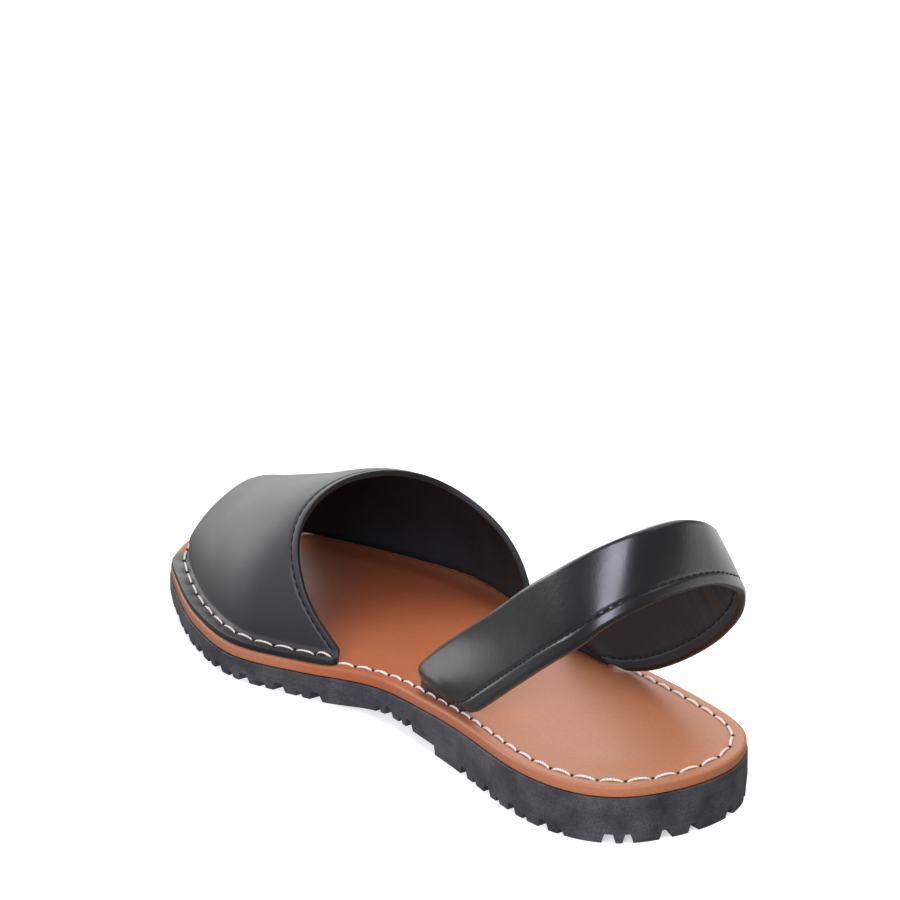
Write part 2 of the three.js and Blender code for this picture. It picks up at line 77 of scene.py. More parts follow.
def valueAt(rows, key, at):
    # a smooth curve through the table's rows
    places = np.array([row["at"] for row in rows], float)
    values = np.array([row[key] for row in rows], float)
    count = len(rows)
    at = np.asarray(at, float)
    first = np.clip(np.searchsorted(places, at, side="left") - 1, 0, count - 2)
    before = np.maximum(np.arange(count) - 1, 0)
    after = np.minimum(np.arange(count) + 1, count - 1)
    slopes = (values[after] - values[before]) / (places[after] - places[before])
    span = places[first + 1] - places[first]
    t = np.clip((at - places[first]) / span, 0, 1)
    return (
        (2 * t**3 - 3 * t**2 + 1) * values[first]
        + (t**3 - 2 * t**2 + t) * span * slopes[first]
        + (3 * t**2 - 2 * t**3) * values[first + 1]
        + (t**3 - t**2) * span * slopes[first + 1]
    )


def smooth(low, high, value):
    t = np.clip((np.asarray(value, float) - low) / (high - low), 0, 1)
    return t * t * (3 - 2 * t)


def unit(vectors):
    return vectors / np.linalg.norm(vectors, axis=-1, keepdims=True)


# The same half widths measured against a circle, which keeps both ends of the outline round
fullnessRows = []
for row in outlineRows:
    turn = math.acos(1 - 2 * row["at"])
    width = sole[row["of"]] / math.sin(turn)
    fullness = {side: row[side] * width for side in ("medial", "lateral")}
    fullnessRows.append({"at": turn / math.pi, **fullness})


def outline(around):
    # around runs from 0 at the heel's end up the medial side to 0.5 at the tip and back to 1
    around = np.mod(np.asarray(around, float), 1)
    turn = 2 * np.pi * np.where(around <= 0.5, around, 1 - around)
    share = (1 - np.cos(turn)) / 2
    medial = np.sin(turn) * valueAt(fullnessRows, "medial", turn / np.pi)
    lateral = -np.sin(turn) * valueAt(fullnessRows, "lateral", turn / np.pi)
    y = sole["tipShift"] * share**2 + np.where(around <= 0.5, medial, lateral)
    return np.stack([sole["length"] * share, y], -1)


def insetPoint(around, inset):
    # the outline moved inwards by inset
    step = 0.001
    along = outline(np.asarray(around) + step) - outline(np.asarray(around) - step)
    inward = unit(np.stack([along[..., 1], -along[..., 0]], -1))
    return outline(around) + inward * np.asarray(inset)[..., None]


insetLines = {}


def insetAt(side, inset, x):
    # how far to the side the inset outline lies at x
    key = (side, round(float(inset), 3))
    if key not in insetLines:
        around = np.linspace(0.002, 0.498, 1200)
        if side == "lateral":
            around = 1 - around
        insetLines[key] = insetPoint(around, np.full(len(around), float(inset)))
    line = insetLines[key]
    return np.interp(x, line[:, 0], line[:, 1])


def outsoleTop(x):
    return valueAt(topRows, "z", np.asarray(x) / sole["length"])


def rimTop(x):
    return outsoleTop(x) + sole["gap"] + sole["insole"]


def treadLine(x):
    spring = np.maximum(np.asarray(x) / sole["length"] - sole["springAt"], 0) / (1 - sole["springAt"])
    return sole["toeSpring"] * spring**2


def archLine(x):
    return sole["heelStep"] * (1 - smooth(sole["archAt"], sole["archEndAt"], np.asarray(x) / sole["length"]))


def outsoleBottom(x):
    share = np.asarray(x) / sole["length"]
    onTread = (share < sole["breastAt"]) | (share > sole["archEndAt"])
    return np.where(onTread, treadLine(x), archLine(x))


def setPoints(piece, points):
    # lays the mesh's vertices at points in the shoe's own millimetres
    placed = (np.asarray(points, float) - np.array(sole["middle"])) / 1000
    piece.data.vertices.foreach_set("co", placed.astype(np.float32).ravel())
    piece.data.update()


def addGrid(name, columns, rows, place, merge=False):
    # a grid whose vertices are laid on the shoe: place turns column and row numbers into points
    bpy.ops.object.select_all(action="DESELECT")
    bpy.ops.mesh.primitive_grid_add(x_subdivisions=columns, y_subdivisions=rows, size=2)
    piece = bpy.context.object
    piece.name = name
    flat = np.empty(len(piece.data.vertices) * 3, np.float32)
    piece.data.vertices.foreach_get("co", flat)
    flat = flat.reshape(-1, 3)
    i = np.rint((flat[:, 0] + 1) / 2 * columns).astype(int)
    j = np.rint((flat[:, 1] + 1) / 2 * rows).astype(int)
    setPoints(piece, place(i, j))
    if merge:
        editMesh(piece, mergeDoubles)
        editMesh(piece, turnOutwards)
    return piece


def mergeDoubles():
    bpy.ops.mesh.remove_doubles(threshold=2e-6)


def turnOutwards():
    bpy.ops.mesh.normals_make_consistent(inside=False)


def closeEnds():
    bpy.ops.mesh.select_all(action="DESELECT")
    bpy.ops.mesh.select_non_manifold()
    bpy.ops.mesh.fill_holes(sides=0)
    bpy.ops.mesh.select_all(action="SELECT")
    turnOutwards()


def selectOnly(*pieces):
    bpy.ops.object.select_all(action="DESELECT")
    for piece in pieces:
        piece.select_set(True)
    bpy.context.view_layer.objects.active = pieces[0]


def editMesh(piece, action):
    # runs one action on the whole mesh in edit mode
    selectOnly(piece)
    bpy.ops.object.mode_set(mode="EDIT")
    bpy.ops.mesh.select_all(action="SELECT")
    action()
    bpy.ops.object.mode_set(mode="OBJECT")


def applyModifier(piece, kind, **settings):
    selectOnly(piece)
    modifier = piece.modifiers.new(kind.lower(), kind)
    for name, value in settings.items():
        setattr(modifier, name, value)
    bpy.ops.object.modifier_apply(modifier=modifier.name)


def joinPieces(name, pieces):
    selectOnly(*pieces)
    bpy.ops.object.join()
    pieces[0].name = name
    return pieces[0]


def shade(piece, degrees):
    selectOnly(piece)
    bpy.ops.object.shade_smooth_by_angle(angle=math.radians(degrees))


def linear(code):
    # sRGB hex to linear colour
    parts = [int(code[k:k + 2], 16) / 255 for k in (1, 3, 5)]
    return [p / 12.92 if p <= 0.04045 else ((p + 0.055) / 1.055) ** 2.4 for p in parts] + [1]


def addNode(material, kind, settings=None, links=None):
    # "in:Name" sets a socket, "stops" lays out a ramp, and anything else is the node's own setting
    node = material.node_tree.nodes.new("ShaderNode" + kind)
    for name, value in (settings or {}).items():
        if name.startswith("in:"):
            socket = name[3:]
            node.inputs[int(socket) if socket.isdigit() else socket].default_value = value
        elif name == "stops":
            while len(node.color_ramp.elements) < len(value):
                node.color_ramp.elements.new(0.5)
            for element, (place, colour) in zip(node.color_ramp.elements, value):
                element.position = place
                element.color = linear(colour) if isinstance(colour, str) else [colour] * 3 + [1]
        else:
            setattr(node, name, value)
    for name, source in (links or {}).items():
        material.node_tree.links.new(source, node.inputs[name])
    return node


def newMaterial(name, **surface):
    material = bpy.data.materials.new(name)
    material.use_nodes = True
    shader = material.node_tree.nodes["Principled BSDF"]
    for key, value in surface.items():
        shader.inputs[key.replace("_", " ")].default_value = value
    return material, shader


def finishMaterial(material, shader, surface, relief):
    # links what varies over the surface, then one bump on the other: height, strength, depth in mm
    normal = {}
    for height, strength, depth in relief:
        settings = {"in:Strength": strength, "in:Distance": depth / 1000}
        bump = addNode(material, "Bump", settings, {"Height": height, **normal})
        normal = {"Normal": bump.outputs["Normal"]}
    for name, source in {**surface, **normal}.items():
        material.node_tree.links.new(source, shader.inputs[name])
    return material


# The photo's view: behind the heel, on the inner side, looking down at the sandal
view = {
    "target": (-0.00025, 0.00144, 0.015), "place": (-1.86726, 1.33652, 1.00587),
    "upward": (0.3224, -0.23054, 0.9181), "raise": 0.0632, "lens": 318, "sensor": 36, "clip": 50,
}
cameraPlace = Vector(view["place"])
aim = Vector(view["target"]) + Vector(view["upward"]) * view["raise"]
bpy.ops.object.camera_add(location=cameraPlace)
camera = bpy.context.object
camera.rotation_euler = (aim - cameraPlace).to_track_quat("-Z", "Y").to_euler()
camera.data.lens = view["lens"]
camera.data.sensor_width = view["sensor"]
camera.data.clip_end = view["clip"]
bpy.context.scene.camera = camera
bpy.context.scene.view_settings.view_transform = "Standard"

stage = {"floor": 9, "colour": "#f4f4f4", "rough": 0.9, "world": 0.27, "glow": 0.5, "aim": (0, 0, 0.03)}
bpy.ops.mesh.primitive_plane_add(size=stage["floor"])
floor = bpy.context.object
floor.name = "floor"
paint, paintShader = newMaterial("mattStudioPaint", Roughness=stage["rough"])
paintShader.inputs["Base Color"].default_value = linear(stage["colour"])
paintShader.inputs["Emission Color"].default_value = (1, 1, 1, 1)
paintShader.inputs["Emission Strength"].default_value = stage["glow"]
floor.data.materials.append(paint)
floor.visible_glossy = False
floor.visible_diffuse = False

world = bpy.data.worlds.new("studio")
bpy.context.scene.world = world
world.use_nodes = True
background = world.node_tree.nodes["Background"]
background.inputs["Color"].default_value = (1, 1, 1, 1)
background.inputs["Strength"].default_value = stage["world"]

# A Card is seen only in reflections, a Fill only by dull surfaces. The sheen cards beyond the toe
# make the vamp's broad highlight, the box on the inner side makes the strap's.
lamps = [
    {"name": "sheenCard", "place": (1.7, 0.2, 0.8), "size": (2.0, 0.9), "power": 21},
    {"name": "sheenLowCard", "place": (1.9, -0.3, 0.35), "size": (2.0, 0.5), "power": 5},
    {"name": "sideCard", "place": (1.45, 0.75, 0.16), "size": (1.3, 0.3), "power": 6},
    {"name": "insoleCard", "place": (1.45, -1.03, 0.77), "size": (0.9, 0.6), "power": 10.5},
    {"name": "overhead", "place": (0.2, -0.2, 1.9), "size": (1.6, 1.6), "power": 18},
    {"name": "lateralSky", "place": (0.2, -1.3, 1.2), "size": (1.4, 1.0), "power": 8},
    {"name": "heelSky", "place": (-1.2, -0.6, 1.3), "size": (1.2, 1.0), "power": 6.4},
    {"name": "medialFill", "place": (-1.4, 1.1, 0.6), "size": (1.3, 0.8), "power": 8},
    {"name": "medialBox", "place": (-0.68, 1.22, 0.53), "size": (0.88, 0.4), "power": 16,
     "aim": (-0.1, 0, 0.05), "colour": (0.85, 0.81, 1.0)},
    {"name": "farCard", "place": (0.5, -1.1, 0.001), "size": (2.6, 2.0), "power": 17,
     "aim": (0.5, -1.1, 1)},
    {"name": "ridgeCard", "place": (0.95, -0.4, 0.002), "size": (1.3, 0.5), "power": 0.9,
     "aim": (0.95, -0.4, 1)},
    {"name": "footCard", "place": (-0.009, 0.045, 0.02), "size": (0.012, 0.014), "power": 0.0012,
     "aim": (-0.031, 0.031, 0.027)},
]
for lamp in lamps:
    place = Vector(lamp["place"])
    bpy.ops.object.light_add(type="AREA", location=place)
    light = bpy.context.object
    light.name = lamp["name"]
    toAim = Vector(lamp.get("aim", stage["aim"])) - place
    light.rotation_euler = toAim.to_track_quat("-Z", "Y").to_euler()
    light.data.shape = "RECTANGLE"
    light.data.size, light.data.size_y = lamp["size"]
    light.data.energy = lamp["power"]
    light.data.color = lamp.get("colour", (1, 1, 1))
    light.visible_camera = False
    light.visible_diffuse = not lamp["name"].endswith("Card")
    light.visible_glossy = not lamp["name"].endswith("Fill")
print("stage: camera, floor and light")


def addPatterns(material, patterns):
    # textures on Object coordinates, each with its kind and the real size in mm of what it draws
    coords = addNode(material, "TexCoord").outputs["Object"]
    sized = addNode(material, "Mapping", {"in:Scale": (1000, 1000, 1000)}, {"Vector": coords})
    made = {"vector": sized.outputs["Vector"]}
    for name, (kind, size, settings) in patterns.items():
        node = addNode(material, kind, {"in:Scale": 1 / size, **settings}, {"Vector": made["vector"]})
        made[name] = node.outputs[0]
    return made


def darkenBy(material, colour, pattern, stops, share):
    tone = addNode(material, "ValToRGB", {"stops": stops}, {"Fac": pattern})
    settings = {"data_type": "RGBA", "blend_type": "MULTIPLY", "in:0": share}
    return addNode(material, "Mix", settings, {6: colour, 7: tone.outputs["Color"]}).outputs[2]


calfLook = {
    "patterns": {
        "pores": ("TexVoronoi", 0.75, {"feature": "DISTANCE_TO_EDGE"}),
        "grain": ("TexNoise", 1.6, {"in:Detail": 5}),
        "cloud": ("TexNoise", 22, {"in:Detail": 3}),
    },
    "poreDepth": 0.12, "glossRange": (-0.04, 0.05), "ior": 1.5, "coatRoughness": 0.28,
}


def satinCalf(name, colours, roughness, coat, specular, grainDepth=0.12):
    # Smooth calf leather: fine closed pores, a broad soft highlight that varies a little in gloss
    material, shader = newMaterial(
        name, Roughness=roughness, IOR=calfLook["ior"], Specular_IOR_Level=specular,
        Coat_Weight=coat, Coat_Roughness=calfLook["coatRoughness"],
    )
    made = addPatterns(material, calfLook["patterns"])
    glosses = [roughness + step for step in calfLook["glossRange"]]
    ramps = []
    for low, high in (colours, glosses):
        settings = {"stops": [(0.3, low), (0.7, high)]}
        ramp = addNode(material, "ValToRGB", settings, {"Fac": made["cloud"]})
        ramps.append(ramp.outputs["Color"])
    return finishMaterial(
        material, shader, dict(zip(("Base Color", "Roughness"), ramps)),
        [(made["pores"], calfLook["poreDepth"], 0.2), (made["grain"], grainDepth, 0.3)],
    )


# Satin front strap, polished heel strap, matt split inside the vamp, smoother lining in the strap,
# and cut edges that are inked black
vampLeather = satinCalf("satinCalfLeather", ("#1c1d1e", "#232425"), 0.58, 0, 0.8)
strapLeather = satinCalf("polishedCalfLeather", ("#0e0e10", "#141417"), 0.33, 0.3, 0.5, 0.22)
vampLiningLeather = satinCalf("blackSplitLining", ("#0b0e10", "#111517"), 0.6, 0, 0.35)
strapLiningLeather = satinCalf("blackPigLining", ("#16262d", "#212f36"), 0.48, 0, 0.5)
edgeInk = satinCalf("inkedLeatherEdge", ("#0c0c0d", "#121213"), 0.55, 0, 0.5)

tanLook = {
    "patterns": {
        "cloud": ("TexNoise", 38, {"in:Detail": 4}),
        "fine": ("TexNoise", 1.1, {"in:Detail": 6}),
        "pores": ("TexVoronoi", 0.8, {"feature": "DISTANCE_TO_EDGE"}),
    },
    "roughness": 0.58, "ior": 1.42,
    "tones": [(0.1, "#b97c57"), (0.4, "#b56e46"), (0.85, "#b15d38")],
    "specks": [(0.3, "#e8e0da"), (0.7, "#ffffff")], "speckShare": 0.5, "cloudShare": 0.4,
    # painted shade: the tone darkens towards the front, where the vamp shades it, from one place to the
    # other by this much, but only on the footbed, which begins between these distances from the middle
    "paintedVampShade": (-100, 60, 0.6), "footbed": (43, 34),
}


def tanInsoleLeather():
    # Vegetable tanned leather: warm and a little blotchy, with a soft sheen and fine pores. Painted shade
    # makes it redder and darker towards the front, under the vamp, so it is paler under the heel
    material, shader = newMaterial(
        "vegetableTannedLeather", Roughness=tanLook["roughness"], IOR=tanLook["ior"]
    )
    made = addPatterns(material, tanLook["patterns"])
    place = addNode(material, "SeparateXYZ", {}, {"Vector": made["vector"]})
    aside = addNode(material, "Math", {"operation": "ABSOLUTE"}, {0: place.outputs["Y"]})
    fades = []
    # painted shade: darker towards the front, under the vamp, and kept off the rim
    for value, (start, end, most) in (
        (place.outputs["X"], tanLook["paintedVampShade"]), (aside.outputs[0], (*tanLook["footbed"], 1)),
    ):
        settings = {"in:From Min": start, "in:From Max": end, "in:To Max": most}
        fades.append(addNode(material, "MapRange", settings, {"Value": value}).outputs["Result"])
    paintedVampShade = addNode(material, "Math", {"operation": "MULTIPLY"}, dict(enumerate(fades)))
    blotchesAndPaintedShade = addNode(
        material, "Math", {"operation": "MULTIPLY_ADD", "in:1": tanLook["cloudShare"]},
        {0: made["cloud"], 2: paintedVampShade.outputs[0]},
    )
    tone = addNode(material, "ValToRGB", {"stops": tanLook["tones"]}, {"Fac": blotchesAndPaintedShade.outputs[0]})
    colour = darkenBy(
        material, tone.outputs["Color"], made["fine"], tanLook["specks"], tanLook["speckShare"]
    )
    return finishMaterial(
        material, shader, {"Base Color": colour}, [(made["pores"], 0.1, 0.2), (made["fine"], 0.12, 0.2)]
    )


rubberLook = {
    "patterns": {
        "patch": ("TexNoise", 9, {"in:Detail": 4}),
        "grit": ("TexNoise", 0.5, {"in:Detail": 3}),
    },
    "roughness": 0.72, "ior": 1.52,
    "streak": (0.05, 0.05, 1.3),  # per mm, so that a streak is 20 mm long and 0.8 mm high
    "tones": [(0.3, "#2f2f31"), (0.72, "#5b5b5e")],
    "streaks": [(0.3, "#b5b5b8"), (0.65, "#ffffff")], "streakShare": 0.4,
    "grits": [(0.38, "#8e8e90"), (0.62, "#ffffff")], "gritShare": 0.6,
}


def mouldedRubber():
    # Black rubber, trimmed and scoured at the side: matt, finely streaked along, with paler grit
    material, shader = newMaterial(
        "scouredBlackRubber", Roughness=rubberLook["roughness"], IOR=rubberLook["ior"]
    )
    made = addPatterns(material, rubberLook["patterns"])
    drawn = addNode(material, "Mapping", {"in:Scale": rubberLook["streak"]}, {"Vector": made["vector"]})
    settings = {"in:Scale": 1, "in:Detail": 5}
    streak = addNode(material, "TexNoise", settings, {"Vector": drawn.outputs["Vector"]})
    streak = streak.outputs["Fac"]
    tone = addNode(material, "ValToRGB", {"stops": rubberLook["tones"]}, {"Fac": made["patch"]})
    colour = tone.outputs["Color"]
    colour = darkenBy(material, colour, streak, rubberLook["streaks"], rubberLook["streakShare"])
    colour = darkenBy(material, colour, made["grit"], rubberLook["grits"], rubberLook["gritShare"])
    return finishMaterial(
        material, shader, {"Base Color": colour}, [(streak, 0.2, 0.3), (made["grit"], 0.4, 0.3)]
    )


def twistedThread(name, colours, roughness, plies, sheen):
    # Twisted thread: its plies show as slanted bands along the piece's own UV map
    material, shader = newMaterial(name, Roughness=roughness, IOR=1.5, Sheen_Weight=sheen)
    coords = addNode(material, "TexCoord").outputs["UV"]
    settings = {"in:Scale": (plies, plies * 3.5, 1)}
    wound = addNode(material, "Mapping", settings, {"Vector": coords}).outputs["Vector"]
    settings = {"in:Scale": 0.32, "in:Distortion": 0.3, "bands_direction": "DIAGONAL"}
    wave = addNode(material, "TexWave", settings, {"Vector": wound}).outputs["Fac"]
    stops = [(0.1, colours[0]), (0.7, colours[1])]
    tone = addNode(material, "ValToRGB", {"stops": stops}, {"Fac": wave}).outputs["Color"]
    return finishMaterial(material, shader, {"Base Color": tone}, [(wave, 0.3, 0.2)])


tanLeather = tanInsoleLeather()
blackRubber = mouldedRubber()
# Waxed linen is pale and a little furry, nylon is dull black in its groove
creamThread = twistedThread("waxedLinenThread", ("#cfc6bb", "#eae2d8"), 0.6, 4, 0.2)
blackThread = twistedThread("blackNylonThread", ("#050505", "#0f0f10"), 0.8, 3, 0)
# Painted shadow: a dark disc for the shaded inside of each needle hole in the tan leather
holeShade, holeShader = newMaterial("needleHoleShadow", Roughness=0.9)
holeShader.inputs["Base Color"].default_value = linear("#2a150c")
print("materials")


# The cream seam runs round the whole sole and holds the vamp's turned-out edge, the flange
seam = {
    "inset": 4.6,
    "pitch": [(0, 8.7), (35, 8.3), (75, 7.0), (135, 6.9), (160, 7.9), (256, 8.1)],  # by place along
    "phase": 0.35,
    "threads": [(1.0, 0.5), (0.85, 1.75), (0.78, 0.36)],  # width, height: 0, 1 or 2 ends on the flange
    "endGap": 0.055, "sink": 0.5, "sway": 0.12,
    "dip": 0.4, "dipSize": 1.0, "channel": 0.16, "channelSize": 1.0, "scallop": 0.28, "scallopSize": 2.7,
    "hole": {"radius": 0.42, "depth": 0.4, "raised": 0.12, "sides": 10},
}
# The vamp's two cut edges, from its medial foot (at 0) over the instep to its lateral foot (at 1)
vampEdgeRows = [
    {"at": 0, "front": 0.952, "rear": 0.573}, {"at": 0.12, "front": 0.915, "rear": 0.626},
    {"at": 0.3, "front": 0.9, "rear": 0.672}, {"at": 0.5, "front": 0.911, "rear": 0.677},
    {"at": 0.7, "front": 0.905, "rear": 0.645}, {"at": 0.88, "front": 0.915, "rear": 0.563},
    {"at": 1, "front": 0.93, "rear": 0.527},
]


def runOf(points):
    # the distance along a line to each of its points
    return np.concatenate([[0], np.cumsum(np.linalg.norm(np.diff(points, axis=0), axis=1))])


fine = np.linspace(0, 1, 6001)
seamLine = insetPoint(fine, np.full(len(fine), seam["inset"]))
pitchX, pitchSize = np.array(seam["pitch"]).T
density = 1 / np.interp(seamLine[:, 0], pitchX, pitchSize)
perStep = 0.5 * (density[1:] + density[:-1]) * np.diff(runOf(seamLine))
stitchRun = np.concatenate([[0], np.cumsum(perStep)])
holeCount = int(round(stitchRun[-1]))
holeShare = (np.arange(holeCount) + seam["phase"]) / holeCount
holeAround = np.interp(holeShare * stitchRun[-1], stitchRun, fine)
holePoints = insetPoint(holeAround, np.full(holeCount, seam["inset"]))


def onFlange(around, x):
    # whether the flange covers the seam there; its ends lie 1 mm further back than the vamp's edges
    foot = np.where(np.asarray(around) < 0.5, 0.0, 1.0)
    front = valueAt(vampEdgeRows, "front", foot) * sole["length"] - 1
    rear = valueAt(vampEdgeRows, "rear", foot) * sole["length"] - 1
    return (x > rear) & (x < front)


holeOnFlange = onFlange(holeAround, holePoints[:, 0])


def seamDip(x, y, holes, size=seam["dipSize"], deep=seam["dip"]):
    # how deep the thread pulls the leather down round the holes
    points = np.stack([x, y], -1)
    depth = np.zeros(len(points))
    for hole in holes:
        near = np.sum((points - hole) ** 2, -1)
        depth = np.maximum(depth, np.exp(-near / size**2))
    return deep * depth


# The insole and the outsole are rings round a spine. A profile's row is its inset from the outline,
# its height as a share of the way from underside to top, an extra height, and its share of the way in
# to the spine.
insoleLook = {
    "around": 720, "toSpine": 16, "spine": (0.14, 0.86), "edge": 1.0, "edgeSteps": 6,
    "pad": (5.6, 19.0), "padSteps": 22,  # the footbed's padding rises between these insets
    "rim": (1.8, 5.5, 0.3),  # from, to and step of the flat rim's rows
    "under": [(1.1, 0, 0, 1), (1.1, 0, 0, 0.5), (0.35, 0, 0, 0), (0.07, 0, 0.1, 0), (0, 0, 0.4, 0),
              (0, 0.4, 0, 0), (0, 0.6, 0, 0)],
}


def insoleProfile():
    setIn, edge, pad = sole["insoleSetIn"], insoleLook["edge"], insoleLook["pad"]
    rows = [(setIn + inset, *rest) for inset, *rest in insoleLook["under"]]
    for angle in np.linspace(0, math.pi / 2, insoleLook["edgeSteps"]):
        rows.append((setIn + edge * (1 - math.cos(angle)), 1, edge * (math.sin(angle) - 1), 0))
    rows += [(inset, 1, 0, 0) for inset in np.arange(*insoleLook["rim"])]
    for inset in np.linspace(*pad, insoleLook["padSteps"]):
        rows.append((inset, 1, sole["padRise"] * float(smooth(*pad, inset)), 0))
    for k in range(1, insoleLook["toSpine"] + 1):
        rows.append((pad[1], 1, sole["padRise"], k / insoleLook["toSpine"]))
    return np.array(rows)


def addRing(name, profile, columns, height):
    def place(i, j):
        around = i / columns
        inset, share, extra, toSpine = profile[j].T
        point = insetPoint(around, inset)
        half = np.where(around <= 0.5, around, 1 - around)
        along = (1 - np.cos(2 * np.pi * half)) / 2
        low, high = insoleLook["spine"]
        spineX = sole["length"] * (low + (high - low) * along)
        spine = np.stack([spineX, sole["tipShift"] * along**2], -1)
        point = point + (spine - point) * toSpine[:, None]
        return np.column_stack([point, height(point[:, 0], point[:, 1], inset, share, extra, toSpine)])
    return addGrid(name, columns, len(profile) - 1, place, merge=True)


def insoleHeight(x, y, inset, share, extra, toSpine):
    under = outsoleTop(x) + sole["gap"]
    z = under + (rimTop(x) - under) * share + extra
    upper = (share == 1) & (inset > sole["insoleSetIn"] + insoleLook["edge"] + 0.1) & (toSpine == 0)
    channel = seam["channel"] * np.exp(-((inset - seam["inset"]) / seam["channelSize"]) ** 2)
    return z - upper * (channel + seamDip(x, y, holePoints))


insole = addRing("insoleLeather", insoleProfile(), insoleLook["around"], insoleHeight)
print("insole", len(insole.data.polygons))

# Slots for the strap's two ends, one strap's width apart from end to end
band = {"width": 25.5, "thickness": 3}
slot = {"at": {"medial": 0.374, "lateral": 0.387}, "fromEdge": 5.8, "middle": 16.5, "height": 12}


def strapFoot(side):
    # the middle of the strap's end in its slot, and the direction along the slot
    x = slot["at"][side] * sole["length"]
    ends = np.array([x + band["width"] / 2, x - band["width"] / 2])
    y = insetAt(side, sole["insoleSetIn"] + slot["fromEdge"], ends)
    front, rear = np.column_stack([ends, y])
    return (front + rear) / 2, unit(front - rear)


def inFrame(point):
    # from the shoe's millimetres to the frame's metres
    return (np.asarray(point, float) - np.array(sole["middle"][:len(point)])) / 1000


def cutAway(piece, cutter):
    applyModifier(piece, "BOOLEAN", object=cutter, operation="DIFFERENCE", solver="MANIFOLD")
    bpy.data.objects.remove(cutter)


def setMaterials(piece, materials):
    piece.data.materials.clear()
    for material in materials:
        piece.data.materials.append(material)


def finishPiece(piece, degrees, replaced=None):
    if degrees:
        shade(piece, degrees)
    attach(piece, "root")
    if replaced:
        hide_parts(replaced)


for side in ("medial", "lateral"):
    middle, along = strapFoot(side)
    place = inFrame((*middle, slot["middle"]))
    bpy.ops.object.select_all(action="DESELECT")
    turned = (0, 0, math.atan2(along[1], along[0]))
    bpy.ops.mesh.primitive_cube_add(size=1, location=tuple(place), rotation=turned)
    cutter = bpy.context.object
    size = (band["width"] + 2 * sole["gap"], band["thickness"] + 2 * sole["gap"], slot["height"])
    cutter.scale = [extent / 1000 for extent in size]
    bpy.ops.object.transform_apply(location=True, rotation=True, scale=True)
    cutAway(insole, cutter)
setMaterials(insole, [tanLeather])
finishPiece(insole, 50, "insole")
print("slots", len(insole.data.polygons))

# The tread: pairs of a wide groove and a finer one across it, two grooves along it, and notches
# round the heel and the toe, given by their direction in degrees and their width
outsoleLook = {
    "around": 600, "reach": 0.7 * sole["ballWidth"], "groove": 2.6, "grooveDepth": 3,
    "sipe": 1.4, "sipeDepth": 1.7, "sipeAt": 0.45, "flare": 0.3, "below": 2,
    "heelPitch": 15.1, "heelFirst": 1.2, "waistPitch": 12, "waistField": (1.25, 3.25),
    "forePitch": 12.8, "field": (0.085, 0.93),
    "middle": 3.4, "middleDepth": 1.9, "middleAt": 0.17, "middleSteps": 7, "archSteps": 40,
    "notchReach": 11, "heelCentre": 0.14, "toeCentre": 0.86,
    "heelNotches": [(136, 1), (145, 0.6), (164, 1), (180, 0.9), (206, 1), (227, 0.9)],
    "toeNotches": [(-42, 1), (-21, 0.8), (0, 1), (22, 0.8), (45, 1)],
    "profile": [(0.6, 0, 0, 1), (0.6, 0, 0, 0), (0.3, 0.225, 0, 0), (0, 0.45, 0, 0), (0, 0.75, 0, 0),
                (0, 1, -0.25, 0), (0.25, 1, 0, 0), (0.6, 1, 0, 0), (0.6, 1, 0, 1)],
}


def outsoleHeight(x, y, inset, share, extra, toSpine):
    low = treadLine(x)
    return low + (outsoleTop(x) - low) * share + extra


profile = np.array(outsoleLook["profile"])
outsole = addRing("outsoleRubber", profile, outsoleLook["around"], outsoleHeight)


def cutTread(name, sections):
    # a closed bar through its cross sections, cut away from the tread
    sections = np.asarray(sections, float)
    count = sections.shape[1]
    bar = addGrid(name, count, len(sections) - 1, lambda i, j: sections[j, i % count])
    editMesh(bar, mergeDoubles)
    editMesh(bar, closeEnds)
    cutAway(outsole, bar)


def cutGroove(path, width, depth):
    # a groove along a path, wider at its mouth than at its floor
    path = np.asarray(path, float)
    below = outsoleLook["below"]
    mouth = width / 2 + outsoleLook["flare"] * depth
    sections = []
    for k, point in enumerate(path):
        along = path[min(k + 1, len(path) - 1)] - path[max(k - 1, 0)]
        side = unit(np.array([-along[1], along[0]]))
        level = float(outsoleBottom(point[0]))
        shape = [(-mouth, level - below), (mouth, level - below), (mouth, level),
                 (width / 2, level + depth), (-width / 2, level + depth), (-mouth, level)]
        sections.append([(*(point + side * out), z) for out, z in shape])
    cutTread("groove", sections)


# The raised waist between the heel block's breast and the ball
length = sole["length"]
reach = outsoleLook["reach"]
breast, archEnd = sole["breastAt"], sole["archEndAt"]
waistSections = []
for k in range(outsoleLook["archSteps"] + 1):
    x = length * (breast + (archEnd - breast) * k / outsoleLook["archSteps"])
    low, high = -sole["heelStep"], float(archLine(x))
    waistSections.append([(x, reach, low), (x, reach, high), (x, -reach, high), (x, -reach, low)])
cutTread("waist", waistSections)


def cutField(first, last, pitch):
    grooves = (
        (0, outsoleLook["groove"], outsoleLook["grooveDepth"]),
        (outsoleLook["sipeAt"] * pitch, outsoleLook["sipe"], outsoleLook["sipeDepth"]),
    )
    x = first
    while (last - x) * math.copysign(1, pitch) > 0:
        for further, width, depth in grooves:
            cutGroove([(x + further, -reach), (x + further, reach)], width, depth)
        x += pitch


